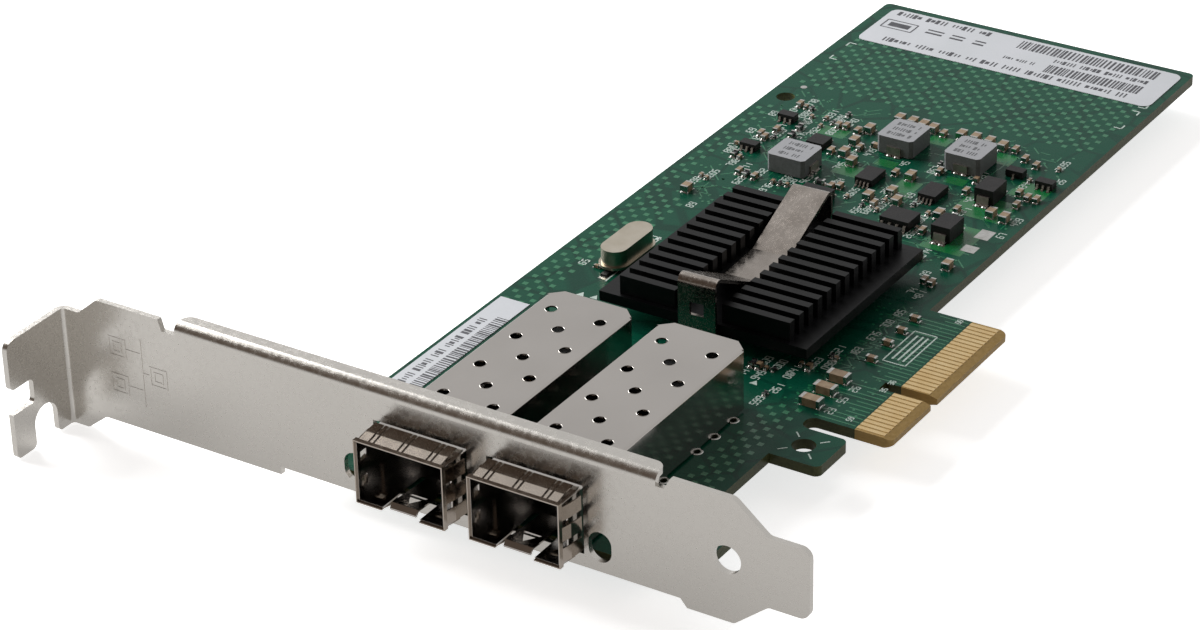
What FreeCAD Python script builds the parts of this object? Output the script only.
import FreeCAD, Part
import math
import os
import Sketcher

# Two-port network interface card on an expansion-slot bracket.
# X runs along the bracket, from its screw tab to its tongue. Y runs from the bracket's outer face
# to the far end of the board. Z is up out of the component side.
# While modelling, X = 0 is the board's left edge, Y = 0 the bracket's outer face and Z = 0 the
# board's top face. Each sub-part's Placement then carries it to the frame whose origin is the
# middle of the card's footprint, at the level of its lowest edge. All lengths are millimetres.

SIZES = {
    "Circuit board": {
        "board_width": 56.3,
        "board_length": 168.6,
        "board_thickness": 1.57,
        "board_gap": 0.54,
        "board_corner": 1.0,
        "front_ear_width": 6.5,
        "front_ear_length": 14.6,
        "hold_tab_width": 7.7,
        "hold_tab_length": 8.3,
        "hold_slot_width": 3.0,
        "tab_hole": 3.4,
        "side_hole": 3.0,
        "side_hole_inset": 3.2,
        "side_hole_from_end": 39.9,
    },
    "Edge connector": {
        "key_centre": 57.18,
        "key_width": 1.9,
        "key_depth": 8.1,
        "tongue_reach": 12.6,
        "tongue_margin": 0.8,
        "tongue_bevel": 1.2,
        "tongue_bevel_drop": 0.35,
        "contact_pitch": 1.0,
        "contact_width": 0.7,
        "contact_length": 4.4,
        "contact_setback": 1.25,
        "contact_plating": 0.05,
        "contacts_before_key": 11,
        "contacts_after_key": 21,
    },
    "Bracket": {
        "sheet_metal": 0.86,
        "bend_inside": 0.6,
        "tab_offset": 38.2,
        "tab_depth": 12.0,
        "neck_top": 12.4,
        "neck_drop": 5.95,
        "shoulder_offset": 7.1,
        "shoulder_run": 3.4,
        "face_top": 15.3,
        "face_drop": 3.3,
        "face_drop_middle": 2.1,
        "lip_start": 17.6,
        "lip_stop": 3.5,
        "lip_depth": 3.1,
        "lip_corner": 1.6,
        "relief_width": 2.2,
        "relief_depth": 1.7,
        "relief_slope": 0.5,
        "relief_right_width": 1.3,
        "face_side_room": 0.7,
        "end_reach": 19.0,
        "end_shoulder": 8.0,
        "end_slope": 5.0,
        "end_top": 11.1,
        "end_bottom": 0.75,
        "end_corner": 1.5,
        "grip_notch_top": 4.9,
        "grip_notch_height": 3.8,
        "grip_notch_depth": 4.6,
        "screw_slot_width": 4.8,
        "screw_slot_centre": 5.5,
        "screw_slot_top": 0.3,
        "bracket_hole": 4.1,
        "bracket_hole_from_ear": 7.0,
        "bracket_hole_height": 6.0,
        "light_window_width": 3.5,
        "light_window_height": 4.5,
        "light_window_left": 10.9,
        "light_window_right": 9.9,
        "light_window_level": 1.65,
        "foot_width": 7.0,
        "foot_length": 12.0,
        "foot_screw_y": 7.5,
        "foot_screw_inset": 4.0,
        "foot_screw_outset": 1.5,
    },
    "Bracket screws": {
        "screw_thread": 3.0,
        "screw_length": 3.2,
        "screw_head": 5.4,
        "screw_head_height": 1.9,
        "screw_clearance": 0.2,
        "recess_width": 0.6,
        "recess_length": 2.9,
        "recess_depth": 0.9,
    },
    "Port cages": {
        "first_port": 22.83,
        "port_pitch": 18.02,
        "cage_width": 13.9,
        "cage_top": 9.7,
        "cage_foot": 0.35,
        "cage_wall": 0.25,
        "nose_reach": 5.15,
        "cage_length": 46.55,
        "cage_rear": 1.9,
        "cage_rear_chamfer": 2.0,
        "vent_size": 1.8,
        "vent_side": 4.02,
        "vent_pitch": 4.43,
        "vent_start": 11.35,
        "window_clearance": 0.35,
        "pin_width": 0.7,
        "pin_drop": 2.6,
        "pin_hole": 1.1,
        "pin_shoulder": 1.8,
        "latch_width": 4.2,
        "latch_slit": 0.9,
        "latch_reach": 9.0,
        "latch_rise": 0.6,
        "latch_tip_gap": 0.35,
        "latch_lip": 0.6,
        "latch_window_width": 2.8,
        "latch_window_length": 2.4,
        "latch_window_setback": 0.8,
        "nose_slot_gap": 0.2,
        "nose_slot_length": 1.3,
        "nose_slot_height": 1.4,
        "base_slot_width": 1.2,
        "base_length": 32.0,
        "base_flange": 3.0,
        "base_flange_setback": 5.3,
    },
    "Spring collars": {
        "collar_wall": 0.15,
        "collar_band": 0.8,
        "collar_overhang": 0.3,
        "finger_flare": 0.6,
        "finger_length": 3.6,
        "finger_width": 3.5,
        "corner_finger_width": 1.4,
        "finger_slit": 0.31,
        "finger_tie": 0.45,
        "side_finger_width": 2.1,
    },
    "Port connectors": {
        "connector_width": 11.8,
        "connector_length": 11.4,
        "connector_height": 7.2,
        "connector_from_rear": 2.6,
        "card_slot_width": 9.4,
        "card_slot_height": 1.5,
        "card_slot_level": 3.0,
        "card_slot_depth": 6.5,
        "port_contact_pitch": 0.8,
        "port_contact_width": 0.4,
        "port_contact_thickness": 0.2,
    },
    "Controller chip": {
        "chip_x": 33.1,
        "chip_y": 71.6,
        "chip_size": 25.0,
        "ball_height": 0.35,
        "ball_width": 0.6,
        "ball_pitch": 2.0,
        "balls_per_side": 12,
        "substrate_height": 0.55,
        "mould_size": 21.0,
        "mould_height": 1.35,
        "thermal_pad_height": 0.15,
    },
    "Heat sink": {
        "sink_size": 34.2,
        "sink_base": 1.6,
        "fin_height": 3.0,
        "fin_thickness": 1.3,
        "fin_pitch": 2.62,
        "fin_run": 28.0,
        "fin_count": 13,
    },
    "Heat sink clip": {
        "clip_width": 6.0,
        "clip_thickness": 0.5,
        "clip_side_room": 0.9,
        "clip_angle": 2.5,
        "clip_seat": 8.6,
        "clip_near_rise": 6.9,
        "clip_far_rise": 5.0,
        "clip_end_room": 0.6,
        "clip_bend": 0.7,
        "clip_hook": 1.7,
        "clip_hook_level": 1.0,
        "clip_hole_width": 2.3,
        "clip_hole_height": 2.0,
        "clip_hole_level": 5.1,
        "wire_size": 0.8,
        "wire_span": 8.4,
    },
    "Crystal": {
        "crystal_x": 10.2,
        "crystal_y": 71.2,
        "crystal_width": 4.9,
        "crystal_length": 11.5,
        "crystal_rim": 0.4,
        "crystal_foot": 0.6,
        "crystal_can_width": 4.2,
        "crystal_can_height": 2.5,
    },
    "Inductors": {
        "inductor_length": 6.6,
        "inductor_width": 6.2,
        "inductor_height": 2.9,
        "inductor_chamfer": 0.5,
        "terminal_width": 2.4,
        "terminal_height": 1.5,
        "terminal_thickness": 0.25,
    },
    "Chip packages": {
        "package_stand_off": 0.1,
        "lead_thickness": 0.18,
        "block_width": 3.2,
        "block_length": 4.5,
        "block_height": 2.4,
        "block_lead": 2.0,
        "block_reach": 0.9,
        "memory_width": 4.9,
        "memory_length": 3.9,
        "memory_height": 1.45,
        "memory_pitch": 1.27,
        "memory_lead": 0.42,
        "memory_reach": 1.0,
        "driver_width": 3.0,
        "driver_length": 4.4,
        "driver_height": 1.1,
        "driver_pitch": 0.65,
        "driver_lead": 0.26,
        "driver_reach": 0.9,
        "switcher_width": 3.0,
        "switcher_length": 3.0,
        "switcher_height": 1.0,
        "switcher_pitch": 0.5,
        "switcher_lead": 0.2,
        "switcher_reach": 0.9,
        "small_width": 2.9,
        "small_length": 1.6,
        "small_height": 1.1,
        "small_pitch": 0.95,
        "small_lead": 0.35,
        "small_reach": 0.6,
    },
    "Capacitors": {
        "cap_large_length": 3.2,
        "cap_large_width": 1.6,
        "cap_large_height": 1.25,
        "cap_large_end": 0.5,
        "cap_medium_length": 2.0,
        "cap_medium_width": 1.25,
        "cap_medium_height": 1.15,
        "cap_medium_end": 0.4,
        "cap_small_length": 1.6,
        "cap_small_width": 0.8,
        "cap_small_height": 0.8,
        "cap_small_end": 0.3,
    },
    "Labels": {
        "label_thickness": 0.1,
        "product_label_width": 52.8,
        "product_label_length": 13.4,
        "product_label_inset": 2.2,
        "product_label_from_end": 1.6,
        "product_label_corner": 1.5,
        "serial_label_width": 5.0,
        "serial_label_length": 38.0,
        "serial_label_inset": 0.7,
        "serial_label_far_end": 51.8,
    },
}

# Places on the board. A column is 1/56 of the board's width, counted from its left edge; the
# second number is the distance in mm behind the middle of the controller chip.
COLUMNS = 56
INDUCTORS_SIDEWAYS = [(16.8, 37.6)]
INDUCTORS_LENGTHWAYS = [(28.1, 51.9), (39.8, 51.7)]
BLOCKS = [(47.5, 43.3), (47.5, 29.4)]
MEMORY_CHIPS = [(39.6, 29.3), (24.8, 29.6)]
DRIVER_CHIPS = [(28.9, 39.6), (39.7, 39.6)]
SWITCHER_CHIPS = [(16.3, 46.1)]
SIX_LEAD_CHIPS = [(7.7, 51.4), (7.6, 39.7), (53.1, 50.7)]
THREE_LEAD_CHIPS = [(47.5, 51.9)]
MEDIUM_CAPACITORS = [
    (23.3, 59.6), (25.6, 59.6), (27.6, 59.5), (29.5, 59.1),
    (34.3, 59.4), (36.7, 59.5), (39.2, 59.4), (41.6, 59.1),
    (20.9, 54.1), (20.9, 49.2), (21.4, 45.0), (23.9, 42.9),
    (34.1, 43.0), (34.1, 37.0), (31.7, 34.0), (36.2, 34.6),
    (43.7, 34.0), (50.3, 38.2), (52.7, 37.8), (52.3, 20.4), (6.5, 22.6),
]
SMALL_CAPACITORS = [
    (31.5, 58.7), (43.7, 59.3), (46.4, 57.2), (48.9, 56.0),
    (31.4, 43.1), (43.6, 43.0), (50.8, 46.6), (52.6, 45.7), (54.0, 45.8),
    (52.2, 42.8), (43.9, 28.4), (51.4, 15.0), (52.7, 14.7),
    (26.2, 35.0), (45.2, 37.0), (19.2, 44.8), (19.4, 52.9),
]
# Capacitors on the tongue lie across it: distance in mm from the board's right edge, and from
# the key's centre.
TONGUE_LARGE = [(-1.4, -1.8), (-1.4, -5.6), (-1.4, -9.5)]
TONGUE_SMALL = [(-0.3, 18.5), (-0.3, 14.5), (-0.3, 10.4), (-0.1, 5.3)]
# Press-fit pins of a cage wall, as distances in mm ahead of the wall's rear end.
CAGE_PINS = [2.8, 7.8, 12.4, 21.0, 30.6]
# Heights of the nose's side slots, as shares of the cage's height.
NOSE_SLOT_LEVELS = [0.28, 0.7]

PLANES = {"XY": ("XY_Plane", 1), "XZ": ("XZ_Plane", -1), "YZ": ("YZ_Plane", 1)}
AXES = {"X": FreeCAD.Vector(1, 0, 0), "Y": FreeCAD.Vector(0, 1, 0), "Z": FreeCAD.Vector(0, 0, 1)}


class Size:
    """A length of the sheet, or one worked out from such lengths: its value and its formula."""

    def __init__(self, value, formula):
        self.value = value
        self.formula = formula

    def joined(self, other, sign, value):
        return Size(value, f"({self.formula} {sign} {sized(other).formula})")

    def __add__(self, other):
        return self.joined(other, "+", self.value + sized(other).value)

    def __sub__(self, other):
        return self.joined(other, "-", self.value - sized(other).value)

    def __mul__(self, other):
        return self.joined(other, "*", self.value * sized(other).value)

    def __truediv__(self, other):
        return self.joined(other, "/", self.value / sized(other).value)

    def __neg__(self):
        return Size(-self.value, f"(0 - {self.formula})")

    def __radd__(self, other):
        return sized(other) + self

    def __rsub__(self, other):
        return sized(other) - self

    def __rmul__(self, other):
        return sized(other) * self


class Sheet:
    """The spreadsheet of driving dimensions; each is read as an attribute by its alias."""

    def __init__(self, document, groups):
        cells = document.addObject("Spreadsheet::Sheet", "Sizes")
        self.lengths = {}
        row = 1
        for group, values in groups.items():
            cells.set(f"A{row}", group)
            for name, value in values.items():
                row += 1
                cells.set(f"A{row}", name.replace("_", " "))
                cells.set(f"B{row}", str(value))
                cells.setAlias(f"B{row}", name)
                self.lengths[name] = Size(value, f"Sizes.{name}")
            row += 1

    def __getattr__(self, name):
        return self.lengths[name]


def sized(length):
    """A plain number as a Size, so that both kinds can be mixed in a sum."""
    return length if isinstance(length, Size) else Size(length, f"({length})")


def bind(item, path, length):
    """Ties a property of a document object, or a constraint of a sketch, to the sheet."""
    item.setExpression(path, sized(length).formula)


# Outlines. Each function returns one that draws itself on a sketch.

def hold(sketch, geometry, point, x, y):
    """Fixes a point of the sketch by its distances from the sketch's origin."""
    for kind, length in (("DistanceX", x), ("DistanceY", y)):
        value = sized(length).value
        index = sketch.addConstraint(Sketcher.Constraint(kind, -1, 1, geometry, point, value))
        bind(sketch, f"Constraints[{index}]", length)


def polygon(*corners):
    def draw(sketch):
        first = sketch.GeometryCount
        spots = [FreeCAD.Vector(sized(x).value, sized(y).value, 0) for x, y in corners]
        for index, spot in enumerate(spots):
            line = Part.LineSegment(spot, spots[(index + 1) % len(spots)])
            sketch.addGeometry(line, False)
        for index, (x, y) in enumerate(corners):
            following = first + (index + 1) % len(corners)
            sketch.addConstraint(Sketcher.Constraint("Coincident", first + index, 2, following, 1))
            hold(sketch, first + index, 1, x, y)
    return draw


def rectangle(left, low, right, high):
    return polygon((left, low), (right, low), (right, high), (left, high))


def block(x, y, width, length):
    """A rectangle by its middle."""
    return rectangle(x - width / 2, y - length / 2, x + width / 2, y + length / 2)


def circle(x, y, diameter):
    def draw(sketch):
        middle = FreeCAD.Vector(sized(x).value, sized(y).value, 0)
        radius = sized(diameter).value / 2
        index = sketch.addGeometry(Part.Circle(middle, FreeCAD.Vector(0, 0, 1), radius), False)
        hold(sketch, index, 3, x, y)
        size = sketch.addConstraint(Sketcher.Constraint("Diameter", index, 2 * radius))
        bind(sketch, f"Constraints[{size}]", diameter)
    return draw


def obround(x, y, width, height):
    """An upright window with half-round ends."""
    def draw(sketch):
        half = width / 2
        straight = (height - width) / 2
        middle_x, middle_y = sized(x).value, sized(y).value
        first = sketch.GeometryCount
        for side in (-1, 1):
            low = FreeCAD.Vector(middle_x + half.value * side, middle_y - straight.value, 0)
            high = FreeCAD.Vector(middle_x + half.value * side, middle_y + straight.value, 0)
            line = sketch.addGeometry(Part.LineSegment(low, high), False)
            hold(sketch, line, 1, x + half * side, y - straight)
            hold(sketch, line, 2, x + half * side, y + straight)
        for end in (-1, 1):
            middle = FreeCAD.Vector(middle_x, middle_y + straight.value * end, 0)
            ring = Part.Circle(middle, FreeCAD.Vector(0, 0, 1), half.value)
            turn = math.pi if end < 0 else 0
            arc = sketch.addGeometry(Part.ArcOfCircle(ring, turn, turn + math.pi), False)
            point = 1 if end < 0 else 2
            left, right = (1, 2) if end < 0 else (2, 1)
            sketch.addConstraint(Sketcher.Constraint("Coincident", arc, left, first, point))
            sketch.addConstraint(Sketcher.Constraint("Coincident", arc, right, first + 1, point))
            centre = y + straight * end
            index = sketch.addConstraint(Sketcher.Constraint("DistanceY", -1, 1, arc, 3, centre.value))
            bind(sketch, f"Constraints[{index}]", centre)
    return draw


# Bodies and their features. Extrusions run from a start level to a stop level along +X, +Y or +Z.

def new_body(label):
    body = document.addObject("PartDesign::Body", label)
    body.Label = label
    return body


def sketch_at(body, plane, level, outlines):
    role, sense = PLANES[plane]
    sketch = body.newObject("Sketcher::SketchObject", f"{body.Label}_outline")
    base = next(item for item in body.Origin.OriginFeatures if item.Role == role)
    sketch.AttachmentSupport = [(base, "")]
    sketch.MapMode = "FlatFace"
    bind(sketch, ".AttachmentOffset.Base.z", sized(level) * sense)
    for outline in outlines:
        outline(sketch)
    sketch.Visibility = False
    return sketch


def extrusion(body, kind, plane, start, stop, outlines):
    sketch = sketch_at(body, plane, start, outlines)
    feature = body.newObject(f"PartDesign::{kind}", f"{body.Label}_{kind}")
    feature.Profile = sketch
    along_normal = PLANES[plane][1] > 0
    feature.Reversed = along_normal == (kind == "Pocket")
    bind(feature, "Length", stop - start)
    return feature


def grow(body, plane, start, stop, *outlines):
    """Adds the outlines to the body, carried from start to stop."""
    feature = extrusion(body, "Pad", plane, start, stop, outlines)
    settle(feature)
    return feature


def cut(body, plane, start, stop, *outlines):
    """Takes the outlines out of the body, from start to stop."""
    before = body.Shape.Volume
    feature = extrusion(body, "Pocket", plane, start, stop, outlines)
    settle(feature)
    if body.Shape.Volume >= before:
        raise ValueError(f"{feature.Label} cuts nothing")
    return feature


def edges_at(shape, axis, spots):
    """Names of the straight edges along the axis that pass through the spots."""
    names = []
    for spot in spots:
        mark = Part.Vertex(*[sized(length).value for length in spot])
        for index, edge in enumerate(shape.Edges, start=1):
            if not isinstance(edge.Curve, Part.Line):
                continue
            if edge.Curve.Direction.cross(AXES[axis]).Length > 1e-6:
                continue
            if edge.distToShape(mark)[0] < 1e-3:
                names.append(f"Edge{index}")
                break
        else:
            raise ValueError(f"no {axis} edge at {mark.Point}")
    return names


def dress(body, kind, size, axis, *spots):
    """A Fillet or Chamfer on the edges along the axis that pass through the spots."""
    base = body.Tip
    names = edges_at(base.Shape, axis, spots)
    feature = body.newObject(f"PartDesign::{kind}", f"{body.Label}_{kind}")
    feature.Base = (base, names)
    bind(feature, "Radius" if kind == "Fillet" else "Size", size)
    settle(feature)
    return feature


def repeat(body, feature, axis, spacing, count):
    """Copies a feature along an axis of the body."""
    pattern = body.newObject("PartDesign::LinearPattern", f"{body.Label}_row")
    line = next(item for item in body.Origin.OriginFeatures if item.Role == f"{axis}_Axis")
    pattern.Originals = [feature]
    pattern.Direction = (line, [""])
    bind(pattern, "Occurrences", count)
    bind(pattern, "Length", spacing * (count - 1))
    body.Tip = pattern
    settle(pattern)
    return pattern


def settle(feature):
    document.recompute()
    if not feature.isValid() or feature.Shape.isNull():
        raise ValueError(f"{feature.Label} failed: {feature.State}")


def box(low, high):
    """A plain block between two corners, tied to the sheet."""
    item = document.addObject("Part::Box", "block")
    for path, start, stop in zip(("Length", "Width", "Height"), low, high):
        bind(item, path, stop - start)
    for path, start in zip("xyz", low):
        bind(item, f"Placement.Base.{path}", start)
    return item


def group(label, items):
    """Separate solids that share one sub-part."""
    gathered = document.addObject("Part::Compound", label)
    gathered.Label = label
    gathered.Links = items
    return gathered


def on_board(place):
    """X and Y of a place given in columns and in mm behind the chip."""
    column, behind = place
    return S.board_width * column / COLUMNS, S.chip_y + behind


document = FreeCAD.newDocument("network_card")
S = Sheet(document, SIZES)
document.recompute()

board_front = S.sheet_metal + S.board_gap
board_end = board_front + S.board_length
board_bottom = -S.board_thickness
ear_end = S.board_width + S.front_ear_width
tongue_end_x = S.board_width + S.tongue_reach
first_contact = S.key_centre - S.contact_pitch * 1.5 - S.contact_pitch * (S.contacts_before_key - 1)
later_contact = S.key_centre + S.contact_pitch * 1.5
last_contact = later_contact + S.contact_pitch * (S.contacts_after_key - 1)
tongue_front = first_contact - S.tongue_margin
tongue_back = last_contact + S.tongue_margin
hold_tab_back = tongue_front - S.hold_slot_width
hold_tab_front = hold_tab_back - S.hold_tab_length
port_centres = [S.first_port, S.first_port + S.port_pitch]
cage_side_end = S.cage_length - S.nose_reach
foot_screws = [S.foot_screw_inset, S.board_width + S.foot_screw_outset]
mould_base = S.ball_height + S.substrate_height
pad_base = mould_base + S.mould_height
sink_bottom = pad_base + S.thermal_pad_height
sink_top = sink_bottom + S.sink_base
clip_end = S.sink_size / 2 + S.clip_end_room
hook_outside = clip_end + S.clip_thickness
wire_offset = hook_outside + S.wire_size * 0.75
wire_level = S.clip_hook_level + S.clip_thickness + S.wire_size / 2


def turned(along, across):
    """X and Y of a point given along and across the clip, about the chip's middle."""
    angle = math.radians(S.clip_angle.value)
    cosine = Size(math.cos(angle), "cos(Sizes.clip_angle * 1 deg)")
    sine = Size(math.sin(angle), "sin(Sizes.clip_angle * 1 deg)")
    x = S.chip_x - S.clip_side_room + across * cosine - along * sine
    y = S.chip_y + across * sine + along * cosine
    return x, y


def cage_pin_rows(centre):
    """X of the two walls' pins, at the middle of each wall."""
    reach = S.cage_width / 2 - S.cage_wall / 2
    return centre - reach, centre + reach


def circuit_board():
    body = new_body("circuit_board")
    right = S.board_width
    outline = polygon(
        (0, board_front), (ear_end, board_front),
        (ear_end, board_front + S.front_ear_length), (right, board_front + S.front_ear_length),
        (right, hold_tab_front), (right + S.hold_tab_width, hold_tab_front),
        (right + S.hold_tab_width, hold_tab_back), (right, hold_tab_back),
        (right, tongue_front), (tongue_end_x, tongue_front),
        (tongue_end_x, tongue_back), (right, tongue_back),
        (right, board_end), (0, board_end),
    )
    grow(body, "XY", board_bottom, sized(0), outline)
    middle = board_bottom / 2
    dress(body, "Fillet", S.board_corner, "Z", (0, board_end, middle), (right, board_end, middle),
          (0, board_front, middle), (right + S.hold_tab_width, hold_tab_front, middle),
          (right + S.hold_tab_width, hold_tab_back, middle), (tongue_end_x, tongue_front, middle),
          (tongue_end_x, tongue_back, middle))
    dress(body, "Fillet", S.hold_slot_width * 0.45, "Z", (right, hold_tab_back, middle),
          (right, tongue_front, middle))
    bevel_start = tongue_end_x - S.tongue_bevel
    drop = S.tongue_bevel_drop
    for face, edge in ((sized(0), -drop), (board_bottom, board_bottom + drop)):
        cut(body, "XZ", tongue_front, tongue_back,
            polygon((bevel_start, face), (tongue_end_x, face), (tongue_end_x, edge)))
    cut(body, "XY", board_bottom, sized(0),
        rectangle(tongue_end_x - S.key_depth, S.key_centre - S.key_width / 2,
                  tongue_end_x + 1, S.key_centre + S.key_width / 2))
    tab_middle = (hold_tab_front + hold_tab_back) / 2
    holes = [circle(right + S.hold_tab_width * 0.4, tab_middle, S.tab_hole),
             circle(S.side_hole_inset, board_end - S.side_hole_from_end, S.side_hole)]
    for x in foot_screws:
        holes.append(circle(x, S.foot_screw_y, S.screw_thread + 2 * S.screw_clearance))
    for end in (-1, 1):
        for side in (-1, 1):
            x, y = turned(wire_offset * end, S.wire_span / 2 * side)
            holes.append(circle(x, y, S.wire_size * 1.3))
    cut(body, "XY", board_bottom, sized(0), *holes)
    for centre in port_centres:
        pins = [circle(x, cage_side_end - ahead, S.pin_hole)
                for x in cage_pin_rows(centre) for ahead in CAGE_PINS]
        cut(body, "XY", board_bottom, sized(0), *pins)
    return body


def edge_contacts():
    """Plated fingers on both faces of the tongue, in two groups either side of the key."""
    outer = tongue_end_x - S.contact_setback
    inner = outer - S.contact_length
    body = new_body("edge_contacts")
    for low, high in ((sized(0), S.contact_plating), (board_bottom - S.contact_plating, board_bottom)):
        for start, count in ((first_contact, S.contacts_before_key),
                             (later_contact, S.contacts_after_key)):
            half = S.contact_width / 2
            finger = rectangle(inner, start - half, outer, start + half)
            repeat(body, grow(body, "XY", low, high, finger), "Y", S.contact_pitch, count)
    return body


def bracket():
    """One folded sheet: face, bent-back lip, screw tab, tongue and two threaded feet."""
    body = new_body("bracket")
    sheet = S.sheet_metal
    outside = S.bend_inside + sheet
    tab_x = -S.tab_offset
    shoulder = tab_x + S.shoulder_offset
    lip_left = -S.lip_start
    lip_right = ear_end - S.lip_stop
    crease = S.face_top - outside
    relief_bottom = S.face_top - S.relief_depth
    end_x = ear_end + S.end_reach
    end_shoulder = ear_end + S.end_shoulder
    end_slope = end_shoulder + S.end_slope
    neck_bottom = -S.neck_drop
    middle_bottom = -S.face_drop_middle
    # screw tab and the neck beside it: an L bent towards the outside
    neck = shoulder - S.shoulder_run
    grow(body, "XY", neck_bottom, S.neck_top, polygon(
        (tab_x, -S.tab_depth), (tab_x + sheet, -S.tab_depth), (tab_x + sheet, 0),
        (neck, 0), (neck, sheet), (tab_x, sheet)))
    dress(body, "Fillet", S.bend_inside, "Z", (tab_x + sheet, 0, 5))
    dress(body, "Fillet", outside, "Z", (tab_x, sheet, 5))
    # face
    grow(body, "XZ", sized(0), sheet, polygon(
        (neck, neck_bottom), (neck, S.neck_top), (shoulder, S.face_top),
        (lip_left - S.relief_width - S.relief_slope, S.face_top),
        (lip_left - S.relief_width, relief_bottom),
        (lip_left, relief_bottom), (lip_left, crease), (lip_right, crease),
        (lip_right, relief_bottom), (lip_right + S.relief_right_width, relief_bottom),
        (lip_right + S.relief_width, S.face_top), (end_shoulder, S.face_top),
        (end_slope, S.end_top), (end_x, S.end_top), (end_x, S.end_bottom),
        (end_slope, S.end_bottom), (end_shoulder, -S.face_drop), (ear_end + 1, -S.face_drop),
        (ear_end, middle_bottom), (-S.face_side_room, middle_bottom),
        (-S.face_side_room, -S.face_drop),
        (shoulder, -S.face_drop)))
    mid = sheet / 2
    dress(body, "Fillet", S.end_corner, "Y", (end_x, mid, S.end_top), (end_x, mid, S.end_bottom),
          (end_shoulder, mid, S.face_top))
    dress(body, "Fillet", S.board_corner, "Y", (end_shoulder, mid, -S.face_drop),
          (end_slope, mid, S.end_bottom), (end_slope, mid, S.end_top), (neck, mid, S.neck_top),
          (shoulder, mid, S.face_top), (shoulder, mid, -S.face_drop), (neck, mid, neck_bottom))
    # lip along the top, bent back over the cages
    grow(body, "YZ", lip_left, lip_right, polygon(
        (0, crease - 0.01), (sheet, crease - 0.01), (sheet, S.face_top - sheet),
        (S.lip_depth, S.face_top - sheet), (S.lip_depth, S.face_top), (0, S.face_top)))
    centre = (lip_left + lip_right) / 2
    dress(body, "Fillet", S.bend_inside, "X", (centre, sheet, S.face_top - sheet))
    dress(body, "Fillet", outside, "X", (centre, 0, S.face_top))
    lip_mid = S.face_top - sheet / 2
    dress(body, "Fillet", S.lip_corner, "Z", (lip_left, S.lip_depth, lip_mid),
          (lip_right, S.lip_depth, lip_mid))
    # feet under the board, each with a drawn collar for its thread
    foot_low = board_bottom - sheet
    for x in foot_screws:
        left = x - S.foot_width / 2
        right = x + S.foot_width / 2
        grow(body, "YZ", left, right, polygon(
            (0, middle_bottom + sheet), (0, middle_bottom), (sheet * 0.7, foot_low),
            (S.foot_length, foot_low), (S.foot_length, board_bottom), (sheet, board_bottom),
            (sheet, middle_bottom + sheet)))
        foot_mid = board_bottom - sheet / 2
        dress(body, "Fillet", S.lip_corner, "Z", (left, S.foot_length, foot_mid),
              (right, S.foot_length, foot_mid))
        grow(body, "XY", foot_low - sheet, foot_low, circle(x, S.foot_screw_y, S.screw_thread + 1.4))
        cut(body, "XY", foot_low - sheet, board_bottom, circle(x, S.foot_screw_y, S.screw_thread))
    # grip notch and screw slot in the tab
    beyond = tab_x + sheet + S.bend_inside
    notch_low = S.grip_notch_top - S.grip_notch_height
    notch_deep = S.grip_notch_depth - S.tab_depth
    cut(body, "YZ", tab_x, tab_x + sheet,
        rectangle(-S.tab_depth - 1, notch_low, notch_deep, S.grip_notch_top))
    tab_mid = tab_x + sheet / 2
    slot_middle = -S.screw_slot_centre
    slot_half = S.screw_slot_width / 2
    slot_round = -S.screw_slot_top - slot_half
    cut(body, "YZ", tab_x, tab_x + sheet,
        rectangle(slot_middle - slot_half, neck_bottom - 1, slot_middle + slot_half, slot_round))
    cut(body, "YZ", tab_x, tab_x + sheet, circle(slot_middle, slot_round, S.screw_slot_width))
    dress(body, "Fillet", S.end_corner, "X", (tab_mid, -S.tab_depth, S.neck_top))
    dress(body, "Fillet", S.board_corner * 0.8, "X", (tab_mid, notch_deep, S.grip_notch_top),
          (tab_mid, notch_deep, notch_low), (tab_mid, -S.tab_depth, S.grip_notch_top),
          (tab_mid, -S.tab_depth, neck_bottom), (tab_mid, slot_middle - slot_half, neck_bottom),
          (tab_mid, slot_middle + slot_half, neck_bottom))
    # windows for the ports and their lights, and the round hole by the tongue
    clear = S.window_clearance
    half = S.cage_width / 2 + S.collar_wall + clear
    low = S.cage_foot - clear - S.collar_wall
    high = S.cage_top + clear + S.collar_wall
    windows = [rectangle(x - half, low, x + half, high) for x in port_centres]
    for x in (port_centres[0] - S.light_window_left, port_centres[1] + S.light_window_right):
        windows.append(obround(x, S.light_window_level, S.light_window_width, S.light_window_height))
    windows.append(circle(ear_end + S.bracket_hole_from_ear, S.bracket_hole_height, S.bracket_hole))
    cut(body, "XZ", sized(0), sheet, *windows)
    return body


def bracket_screw(x):
    """A pan-head screw with a cross recess, driven through the board into a foot of the bracket."""
    body = new_body("screw")
    grow(body, "XY", -S.screw_length, sized(0), circle(x, S.foot_screw_y, S.screw_thread))
    grow(body, "XY", sized(0), S.screw_head_height, circle(x, S.foot_screw_y, S.screw_head))
    head = body.Tip.Shape
    rim = next(f"Edge{index}" for index, edge in enumerate(head.Edges, start=1)
               if isinstance(edge.Curve, Part.Circle)
               and abs(edge.CenterOfMass.z - S.screw_head_height.value) < 1e-3)
    base = body.Tip
    dome = body.newObject("PartDesign::Fillet", "dome")
    dome.Base = (base, [rim])
    bind(dome, "Radius", S.screw_head_height * 0.6)
    settle(dome)
    floor = S.screw_head_height - S.recess_depth
    for width, length in ((S.recess_width, S.recess_length), (S.recess_length, S.recess_width)):
        cut(body, "XY", floor, S.screw_head_height, block(x, S.foot_screw_y, width, length))
    return body


def bracket_screws():
    return group("bracket_screws", [bracket_screw(x) for x in foot_screws])


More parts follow.
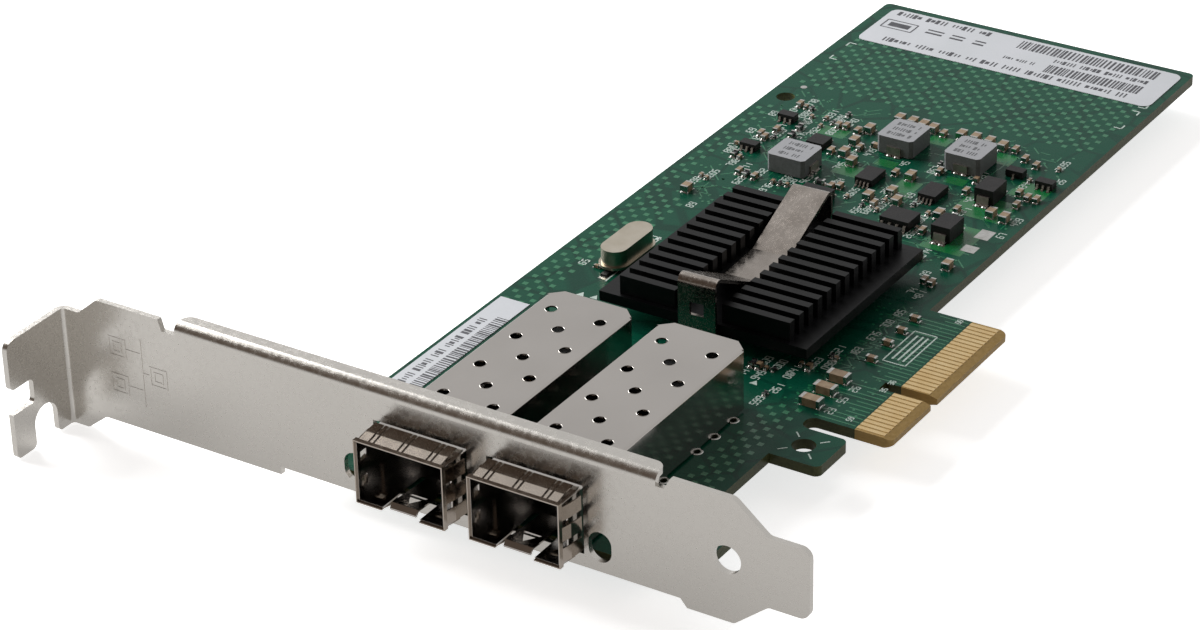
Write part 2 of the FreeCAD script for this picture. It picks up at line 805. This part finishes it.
def cage_shell(number, centre):
    """The folded upper half of a port cage: roof, two walls with press-fit pins, rear wall."""
    body = new_body(f"cage_{number}_shell")
    half = S.cage_width / 2
    wall = S.cage_wall
    top = S.cage_top
    left = centre - half
    right = centre + half
    front = -S.nose_reach
    rear = cage_side_end + S.cage_rear
    grow(body, "XZ", front + S.collar_overhang, cage_side_end, polygon(
        (left, S.cage_foot), (left, top), (right, top), (right, S.cage_foot),
        (right - wall, S.cage_foot), (right - wall, top - wall),
        (left + wall, top - wall), (left + wall, S.cage_foot)))
    dress(body, "Fillet", wall * 1.6, "Y", (left, 10, top), (right, 10, top))
    chamfer = S.cage_rear_chamfer
    grow(body, "XY", top - wall, top, polygon(
        (left, cage_side_end), (right, cage_side_end), (right - chamfer, rear),
        (left + chamfer, rear)))
    grow(body, "XZ", rear - wall, rear,
         rectangle(left + chamfer, S.cage_foot, right - chamfer, top))
    dress(body, "Fillet", wall * 0.8, "X", (centre, rear, top))
    vents = []
    for row in range(7):
        y = S.vent_start + S.vent_pitch * row
        offsets = (-S.vent_side, S.vent_side) if row % 2 == 0 else (sized(0),)
        vents += [circle(centre + offset, y, S.vent_size) for offset in offsets]
    cut(body, "XY", top - wall, top, *vents)
    # slots of the nose, where the collar's side fingers bear
    slot_front = front + S.collar_band + S.nose_slot_gap
    slot_back = slot_front + S.nose_slot_length
    slot_half = S.nose_slot_height / 2
    for level in NOSE_SLOT_LEVELS:
        z = S.cage_foot + (top - S.cage_foot) * level
        cut(body, "YZ", left, right, rectangle(slot_front, z - slot_half, slot_back, z + slot_half))

    def pin(y):
        """A press-fit pin under a shoulder that stands on the board."""
        thin = S.pin_width / 2
        wide = S.pin_shoulder / 2
        root = S.cage_foot + wall
        return polygon((y - thin, -S.pin_drop), (y + thin, -S.pin_drop), (y + thin, 0),
                       (y + wide, 0), (y + wide, root), (y - wide, root), (y - wide, 0),
                       (y - thin, 0))

    for wall_left in (left, right - wall):
        pins = [pin(cage_side_end - ahead) for ahead in CAGE_PINS]
        grow(body, "YZ", wall_left, wall_left + wall, *pins)
    return body


def cage_base(number, centre):
    """The cage's floor, with turned-up flanges, and the latch tongue that holds a module."""
    body = new_body(f"cage_{number}_base")
    wall = S.cage_wall
    inside = S.cage_width / 2 - wall
    low = S.cage_foot
    high = low + wall
    front = S.collar_overhang - S.nose_reach
    back = front + S.base_length
    grow(body, "XY", low, high, rectangle(centre - inside, front, centre + inside, back))
    for left in (centre - inside, centre + inside - wall):
        grow(body, "XZ", front + S.base_flange_setback, back,
             rectangle(left, low, left + wall, low + S.base_flange))
    # the tongue stands free between two slits, leans up towards the front, and ends in a lip
    # that lets a module ride over it
    half = S.latch_width / 2
    tongue_root = front + S.latch_reach
    slit = half + S.latch_slit
    cut(body, "XY", low, high, rectangle(centre - slit, front, centre + slit, tongue_root))
    tip = front + S.latch_tip_gap
    crest = tip + S.latch_lip
    rise = S.latch_rise
    root = tongue_root + wall * 2
    grow(body, "YZ", centre - half, centre + half, polygon(
        (root, low), (root, high), (crest, high + rise), (tip, high), (tip, low),
        (tip + wall, low), (crest + wall * 0.6, low + rise)))
    window_front = crest + S.latch_window_setback
    window_back = window_front + S.latch_window_length
    window_half = S.latch_window_width / 2
    cut(body, "XY", low, high + rise,
        polygon((centre, window_front), (centre + window_half, window_back),
                (centre - window_half, window_back)))
    slot_y = front + S.collar_band + S.nose_slot_gap + S.nose_slot_length
    for side in (-1, 1):
        x = centre + (inside + slit) / 2 * side
        cut(body, "XY", low, high, block(x, slot_y, S.base_slot_width, S.nose_slot_length))
    return body


def cage_collar(number, centre):
    """The grounding collar round a cage's nose: a band with rows of fingers that flare back."""
    body = new_body(f"cage_{number}_collar")
    half = S.cage_width / 2
    skin = S.collar_wall
    low = S.cage_foot
    top = S.cage_top
    front = -S.nose_reach
    band = front + S.collar_band
    tip = band + S.finger_length
    bow = band + S.finger_length * 0.4
    rise = S.finger_flare
    grow(body, "XZ", front, band,
         rectangle(centre - half - skin, low - skin, centre + half + skin, top + skin),
         rectangle(centre - half, low, centre + half, top))
    slit = S.latch_width / 2 + S.latch_slit
    cut(body, "XZ", front, band, rectangle(centre - slit, low - skin, centre + slit, low))

    def finger(level, out):
        """Profile of a finger leaning out from a face of the nose, towards out = 1 or -1."""
        return polygon((band - 0.1, level), (band - 0.1, level + skin * out),
                       (bow, level + (skin + rise * 0.6) * out), (tip, level + (skin + rise) * out),
                       (tip, level + rise * out), (bow, level + rise * 0.6 * out), (band, level))

    pitch = S.finger_width + S.finger_tie + S.finger_slit * 2
    start = centre - pitch / 2
    wide = grow(body, "YZ", start - S.finger_width / 2, start + S.finger_width / 2, finger(top, 1))
    repeat(body, wide, "X", pitch, sized(2))
    inner = pitch + S.finger_tie / 2 + S.finger_slit
    outer = inner + S.corner_finger_width
    for left, right in ((centre - outer, centre - inner), (centre + inner, centre + outer)):
        grow(body, "YZ", left, right, finger(top, 1))
    start = centre - pitch
    tie = grow(body, "YZ", start - S.finger_tie / 2, start + S.finger_tie / 2, finger(top, 1))
    repeat(body, tie, "X", pitch, sized(3))
    for left, right in ((centre - half + 0.4, centre - slit), (centre + slit, centre + half - 0.4)):
        grow(body, "YZ", left, right, finger(low, -1))
    for side, face in ((-1, centre - half), (1, centre + half)):
        profile = polygon(
            (face, band - 0.1), (face + skin * side, band - 0.1),
            (face + (skin + rise * 0.6) * side, bow), (face + (skin + rise) * side, tip),
            (face + rise * side, tip), (face + rise * 0.6 * side, bow), (face, band))
        spacing = (top - low) / 3
        z = low + spacing / 2
        leaf = grow(body, "XY", z - S.side_finger_width / 2, z + S.side_finger_width / 2, profile)
        repeat(body, leaf, "Z", spacing, sized(3))
    return body


def connector_places(centre):
    rear = cage_side_end + S.cage_rear - S.cage_wall - S.connector_from_rear
    return rear - S.connector_length, rear


def port_connector(number, centre):
    """The moulded connector that a module's edge plugs into, inside the cage."""
    body = new_body(f"port_{number}_connector")
    front, rear = connector_places(centre)
    half = S.connector_width / 2
    grow(body, "XY", sized(0), S.connector_height, rectangle(centre - half, front, centre + half, rear))
    cut(body, "XZ", front, front + S.card_slot_depth,
        rectangle(centre - S.card_slot_width / 2, S.card_slot_level,
                  centre + S.card_slot_width / 2, S.card_slot_level + S.card_slot_height))
    dress(body, "Chamfer", S.connector_height * 0.15, "X", (centre, front, S.connector_height))
    return body


def port_contacts(number, centre):
    """Ten springs above and ten below the card slot, and the lower row's tails on the board."""
    front, rear = connector_places(centre)
    body = new_body(f"port_{number}_contacts")
    width = S.port_contact_width
    thick = S.port_contact_thickness
    first = centre - S.port_contact_pitch * 4.5 - width / 2
    slot_top = S.card_slot_level + S.card_slot_height
    for low, start, stop in ((S.card_slot_level, front, front + S.card_slot_depth),
                             (slot_top - thick, front, front + S.card_slot_depth),
                             (sized(0), rear, rear + 1.3)):
        spring = grow(body, "XY", low, low + thick, rectangle(first, start, first + width, stop))
        repeat(body, spring, "X", S.port_contact_pitch, sized(10))
    return body


def controller_substrate():
    body = new_body("controller_substrate")
    grow(body, "XY", S.ball_height, mould_base, block(S.chip_x, S.chip_y, S.chip_size, S.chip_size))
    return body


def controller_mould():
    body = new_body("controller_mould")
    side = S.mould_size
    grow(body, "XY", mould_base, pad_base, block(S.chip_x, S.chip_y, side, side))
    return body


def solder_balls():
    """The outer ring of the controller's solder balls, flattened between chip and board."""
    balls = []
    reach = S.ball_pitch * (S.balls_per_side - 1) / 2
    count = int(S.balls_per_side.value)
    for row in range(count):
        for column in range(count):
            if min(row, column) > 0 and max(row, column) < count - 1:
                continue
            ball = document.addObject("Part::Prism", "ball")
            ball.Polygon = 8
            bind(ball, "Circumradius", S.ball_width / 2)
            bind(ball, "Height", S.ball_height)
            bind(ball, "Placement.Base.x", S.chip_x - reach + S.ball_pitch * column)
            bind(ball, "Placement.Base.y", S.chip_y - reach + S.ball_pitch * row)
            balls.append(ball)
    return group("solder_balls", balls)


def thermal_pad():
    body = new_body("thermal_pad")
    grow(body, "XY", pad_base, sink_bottom, block(S.chip_x, S.chip_y, S.mould_size, S.mould_size))
    return body


def heat_sink():
    """Extruded base and fins, with a channel milled through the fins for the clip."""
    body = new_body("heat_sink")
    grow(body, "XY", sink_bottom, sink_top, block(S.chip_x, S.chip_y, S.sink_size, S.sink_size))
    first = S.chip_y - (S.fin_pitch * (S.fin_count - 1) + S.fin_thickness) / 2
    fin = grow(body, "XY", sink_top - 0.1, sink_top + S.fin_height,
               rectangle(S.chip_x - S.fin_run / 2, first, S.chip_x + S.fin_run / 2,
                         first + S.fin_thickness))
    repeat(body, fin, "Y", S.fin_pitch, S.fin_count)
    channel = S.clip_width + S.clip_side_room * 2
    cut(body, "XY", sink_top, sink_top + S.fin_height,
        block(S.chip_x - S.clip_side_room, S.chip_y, channel, S.sink_size))
    return body


def heat_sink_clip():
    """A bent strip of spring steel: flat seat, two ramps, two hooks under the board's wires."""
    body = new_body("heat_sink_clip")
    thick = S.clip_thickness
    seat = S.clip_seat / 2
    near = -clip_end
    far = clip_end
    level = sink_top
    hook = S.clip_hook_level
    near_top = level + S.clip_near_rise
    far_top = level + S.clip_far_rise
    near_crest = near_top + thick * 1.1 + thick * S.clip_near_rise / (clip_end - seat)
    far_crest = far_top + thick * 1.1 + thick * S.clip_far_rise / (clip_end - seat)
    half = S.clip_width / 2
    grow(body, "YZ", -half, half, polygon(
        (near - thick - S.clip_hook, hook), (near, hook), (near, near_top),
        (-seat, level), (seat, level), (far, far_top), (far, hook),
        (far + thick + S.clip_hook, hook), (far + thick + S.clip_hook, hook + thick),
        (far + thick, hook + thick), (far + thick, far_crest), (seat, level + thick),
        (-seat, level + thick), (near - thick, near_crest), (near - thick, hook + thick),
        (near - thick - S.clip_hook, hook + thick)))
    dress(body, "Fillet", S.clip_bend + thick, "X", (0, near - thick, near_crest),
          (0, far + thick, far_crest))
    dress(body, "Fillet", S.clip_bend, "X", (0, near, near_top), (0, far, far_top))
    hole_low = S.clip_hole_level
    cut(body, "XZ", near - thick, near,
        rectangle(-S.clip_hole_width / 2, hole_low,
                  S.clip_hole_width / 2, hole_low + S.clip_hole_height))
    x, y = turned(sized(0), sized(0))
    body.Placement.Rotation = FreeCAD.Rotation(FreeCAD.Vector(0, 0, 1), S.clip_angle.value)
    bind(body, "Placement.Rotation.Angle", S.clip_angle)
    bind(body, "Placement.Base.x", x)
    bind(body, "Placement.Base.y", y)
    return body


def clip_wires():
    """Two wire staples soldered through the board, which hold the clip's hooks down."""
    staples = []
    radius = S.wire_size / 2
    reach = S.wire_span / 2
    for end in (-1, 1):
        body = new_body("staple")
        y = wire_offset * end
        grow(body, "YZ", -reach - radius, reach + radius, circle(y, wire_level, S.wire_size))
        for x in (-reach, reach):
            grow(body, "XY", board_bottom - 0.6, wire_level, circle(x, y, S.wire_size))
        body.Placement.Rotation = FreeCAD.Rotation(FreeCAD.Vector(0, 0, 1), S.clip_angle.value)
        bind(body, "Placement.Rotation.Angle", S.clip_angle)
        x, y = turned(sized(0), sized(0))
        bind(body, "Placement.Base.x", x)
        bind(body, "Placement.Base.y", y)
        staples.append(body)
    return group("clip_wires", staples)


def crystal_can():
    """The crystal's welded metal can: a rim with rounded ends and a taller cover inside it."""
    body = new_body("crystal_can")
    x = S.crystal_x
    y = S.crystal_y
    rim_top = S.crystal_foot + S.crystal_rim
    can_top = rim_top + S.crystal_can_height
    step = (S.crystal_width - S.crystal_can_width) / 2
    can_length = S.crystal_length - step * 2
    for low, high, width, length in ((S.crystal_foot, rim_top, S.crystal_width, S.crystal_length),
                                     (rim_top - 0.1, can_top, S.crystal_can_width, can_length)):
        straight = length - width
        grow(body, "XY", low, high, block(x, y, width, straight))
        for end in (-1, 1):
            grow(body, "XY", low, high, circle(x, y + straight / 2 * end, width))
    return body


def crystal_base():
    """The insulating spacer under the crystal and its two soldered tabs."""
    x = S.crystal_x
    y = S.crystal_y
    reach = S.crystal_length / 2
    width = S.crystal_width * 0.8
    spacer = box((x - width / 2, y - reach * 0.75, sized(0)),
                 (x + width / 2, y + reach * 0.75, S.crystal_foot))
    tabs = []
    for end in (-1, 1):
        near = y + reach * (0.75 if end > 0 else -1.15)
        tabs.append(box((x - 0.5, near, sized(0)), (x + 0.5, near + reach * 0.4, S.crystal_foot * 0.5)))
    return group("crystal_base", [spacer] + tabs)


def inductor(number, place, width, length):
    """A pressed powder choke with bevelled corners."""
    body = new_body(f"inductor_{number}")
    x, y = on_board(place)
    low = S.package_stand_off
    high = low + S.inductor_height
    grow(body, "XY", low, high, block(x, y, width, length))
    middle = (low + high) / 2
    corners = [(x + width / 2 * side, y + length / 2 * end, middle)
               for side in (-1, 1) for end in (-1, 1)]
    dress(body, "Chamfer", S.inductor_chamfer, "Z", *corners)
    return body


def inductor_terminals():
    plates = []
    top = S.terminal_height
    thick = S.terminal_thickness
    half = S.terminal_width / 2
    for place in INDUCTORS_SIDEWAYS:
        x, y = on_board(place)
        face = S.inductor_length / 2
        for left in (x - face - thick, x + face):
            plates.append(box((left, y - half, sized(0)), (left + thick, y + half, top)))
    for place in INDUCTORS_LENGTHWAYS:
        x, y = on_board(place)
        face = S.inductor_length / 2
        for near in (y - face - thick, y + face):
            plates.append(box((x - half, near, sized(0)), (x + half, near + thick, top)))
    return group("inductor_terminals", plates)


def packages(label, kinds):
    """Moulded bodies of one family, each kind with its places and its size."""
    body = new_body(label)
    low = S.package_stand_off
    for places, width, length, height in kinds:
        outlines = []
        for place in places:
            x, y = on_board(place)
            outlines.append(block(x, y, width, length))
        grow(body, "XY", low, low + height, *outlines)
    return body


def leads(label, kinds):
    """Gull-wing leads on the near and far sides of packages; each kind gives their numbers."""
    rows = []
    thick = S.lead_thickness
    for places, length, height, reach, pitch, width, near_count, far_count in kinds:
        shoulder = height / 2
        for place in places:
            x, y = on_board(place)
            for out, count in ((-1, near_count), (1, far_count)):
                face = y + length / 2 * out
                first = x - pitch * (count - 1) / 2 - width / 2
                if count == 2 and near_count + far_count == 3:
                    first = x - pitch - width / 2
                body = new_body("lead_row")
                lead = grow(body, "YZ", first, first + width, polygon(
                    (face, shoulder), (face, shoulder + thick),
                    (face + reach * 0.35 * out, shoulder + thick),
                    (face + reach * 0.6 * out, thick), (face + reach * out, thick),
                    (face + reach * out, 0), (face + reach * 0.5 * out, 0),
                    (face + reach * 0.25 * out, shoulder)))
                if count > 1:
                    spacing = pitch * 2 if near_count + far_count == 3 else pitch
                    repeat(body, lead, "X", spacing, sized(count))
                rows.append(body)
    return group(label, rows)


def capacitor_parts(spots, length, width, height, end, along_x):
    """Ceramic bodies and tinned ends of chip capacitors at the spots."""
    ceramics = []
    ends = []
    for x, y in spots:
        if along_x:
            reach = (length / 2, width / 2)
            inner = (length / 2 - end, width / 2)
            offset = (length / 2 - end / 2, sized(0))
            cap = (end / 2, width / 2)
        else:
            reach = (width / 2, length / 2)
            inner = (width / 2, length / 2 - end)
            offset = (sized(0), length / 2 - end / 2)
            cap = (width / 2, end / 2)
        ceramics.append(box((x - inner[0], y - inner[1], sized(0)),
                            (x + inner[0], y + inner[1], height)))
        for side in (-1, 1):
            middle_x = x + offset[0] * side
            middle_y = y + offset[1] * side
            ends.append(box((middle_x - cap[0], middle_y - cap[1], sized(0)),
                            (middle_x + cap[0], middle_y + cap[1], height)))
    return ceramics, ends


def capacitors(label, spots, size, along_x):
    length = getattr(S, f"cap_{size}_length")
    width = getattr(S, f"cap_{size}_width")
    height = getattr(S, f"cap_{size}_height")
    end = getattr(S, f"cap_{size}_end")
    ceramics, ends = capacitor_parts(spots, length, width, height, end, along_x)
    return [group(f"{label}_bodies", ceramics), group(f"{label}_ends", ends)]


def product_label():
    body = new_body("product_label")
    left = S.product_label_inset
    right = left + S.product_label_width
    back = board_end - S.product_label_from_end
    front = back - S.product_label_length
    grow(body, "XY", sized(0), S.label_thickness, rectangle(left, front, right, back))
    mid = S.label_thickness / 2
    dress(body, "Fillet", S.product_label_corner, "Z", (left, front, mid), (right, front, mid),
          (left, back, mid), (right, back, mid))
    return body


def serial_label():
    body = new_body("serial_label")
    left = S.serial_label_inset
    back = S.serial_label_far_end
    grow(body, "XY", sized(0), S.label_thickness,
         rectangle(left, back - S.serial_label_length, left + S.serial_label_width, back))
    return body


def sub_parts():
    parts = [circuit_board(), edge_contacts(), bracket(), bracket_screws()]
    for number, centre in enumerate(port_centres, start=1):
        parts += [cage_shell(number, centre), cage_base(number, centre), cage_collar(number, centre),
                  port_connector(number, centre), port_contacts(number, centre)]
    parts += [controller_substrate(), controller_mould(), solder_balls(), thermal_pad(),
              heat_sink(), heat_sink_clip(), clip_wires(), crystal_can(), crystal_base()]
    chokes = [(place, S.inductor_length, S.inductor_width) for place in INDUCTORS_SIDEWAYS]
    chokes += [(place, S.inductor_width, S.inductor_length) for place in INDUCTORS_LENGTHWAYS]
    parts += [inductor(number, *choke) for number, choke in enumerate(chokes, start=1)]
    parts.append(inductor_terminals())
    parts.append(packages("moulded_diodes", [(BLOCKS, S.block_width, S.block_length, S.block_height)]))
    parts.append(leads("diode_terminals", [
        (BLOCKS, S.block_length, S.block_height, S.block_reach, S.block_lead, S.block_lead, 1, 1)]))
    parts.append(packages("memory_chips", [
        (MEMORY_CHIPS, S.memory_width, S.memory_length, S.memory_height)]))
    parts.append(packages("power_chips", [
        (DRIVER_CHIPS, S.driver_width, S.driver_length, S.driver_height),
        (SWITCHER_CHIPS, S.switcher_width, S.switcher_length, S.switcher_height)]))
    small = SIX_LEAD_CHIPS + THREE_LEAD_CHIPS
    parts.append(packages("small_chips", [(small, S.small_width, S.small_length, S.small_height)]))
    parts.append(leads("chip_leads", [
        (MEMORY_CHIPS, S.memory_length, S.memory_height, S.memory_reach, S.memory_pitch,
         S.memory_lead, 4, 4),
        (DRIVER_CHIPS, S.driver_length, S.driver_height, S.driver_reach, S.driver_pitch,
         S.driver_lead, 4, 4),
        (SWITCHER_CHIPS, S.switcher_length, S.switcher_height, S.switcher_reach,
         S.switcher_pitch, S.switcher_lead, 5, 5),
        (SIX_LEAD_CHIPS, S.small_length, S.small_height, S.small_reach, S.small_pitch,
         S.small_lead, 3, 3),
        (THREE_LEAD_CHIPS, S.small_length, S.small_height, S.small_reach, S.small_pitch,
         S.small_lead, 1, 2)]))
    medium = [on_board(place) for place in MEDIUM_CAPACITORS]
    little = [on_board(place) for place in SMALL_CAPACITORS]
    tongue_large = [(S.board_width + x, S.key_centre + y) for x, y in TONGUE_LARGE]
    tongue_small = [(S.board_width + x, S.key_centre + y) for x, y in TONGUE_SMALL]
    parts += capacitors("filter_capacitors", medium, "medium", False)
    parts += capacitors("bypass_capacitors", little, "small", False)
    parts += capacitors("input_capacitors", tongue_large, "large", True)
    parts += capacitors("coupling_capacitors", tongue_small, "small", True)
    parts += [product_label(), serial_label()]
    return parts


def carry_to_origin(parts):
    """Moves every sub-part so that the origin is under the middle of the card, at its lowest edge."""
    middle_x = (ear_end + S.end_reach - S.tab_offset) / 2
    middle_y = (board_end - S.tab_depth) / 2
    for part in parts:
        own = {path.lstrip("."): formula for path, formula in part.ExpressionEngine}
        for axis, length in (("x", -middle_x), ("y", -middle_y), ("z", S.neck_drop)):
            path = f"Placement.Base.{axis}"
            bind(part, path, Size(0, own[path]) + length if path in own else length)
    document.recompute()


def check(parts):
    for item in document.Objects:
        if "Invalid" in item.State or "Error" in item.State:
            raise ValueError(f"{item.Label}: {item.State}")
    for part in parts:
        if part.Shape.isNull() or not part.Shape.isValid() or not part.Shape.Solids:
            raise ValueError(f"{part.Label} has no valid solid")


model = sub_parts()
carry_to_origin(model)
check(model)
os.makedirs("parts", exist_ok=True)
for sub_part in model:
    sub_part.Shape.exportStep(f"parts/{sub_part.Label}.step")
print(len(model), "sub-parts written")
